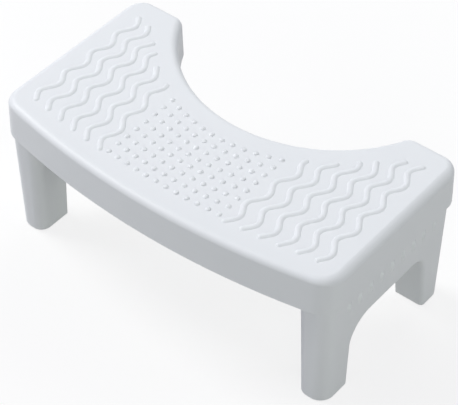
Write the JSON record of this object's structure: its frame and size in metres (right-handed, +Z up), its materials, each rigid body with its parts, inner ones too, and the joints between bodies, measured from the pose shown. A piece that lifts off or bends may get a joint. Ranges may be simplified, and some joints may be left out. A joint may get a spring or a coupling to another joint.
{
  "type": "toilet footstool",
  "caption": "Low white footstool that stands round the foot of a toilet bowl: a deck with a concave back and a raised grip pattern, on two arched leg frames with soft foot pads.",
  "frame": {"origin": "on the floor, under the middle of the stool's bounding box", "axes": "+X along the length, +Y towards the toilet bowl, where the deck is concave, +Z up"},
  "size_m": [0.43, 0.2434, 0.1829],
  "materials": {
    "white_plastic": "satin moulded polypropylene",
    "pad_rubber": "soft matt rubber"
  },
  "bodies": {
    "root": {"deck": "white_plastic", "left_leg_frame": "white_plastic", "right_leg_frame": "white_plastic", "front_left_foot_pad": "pad_rubber", "front_right_foot_pad": "pad_rubber", "back_left_foot_pad": "pad_rubber", "back_right_foot_pad": "pad_rubber"}
  },
  "joints": []
}
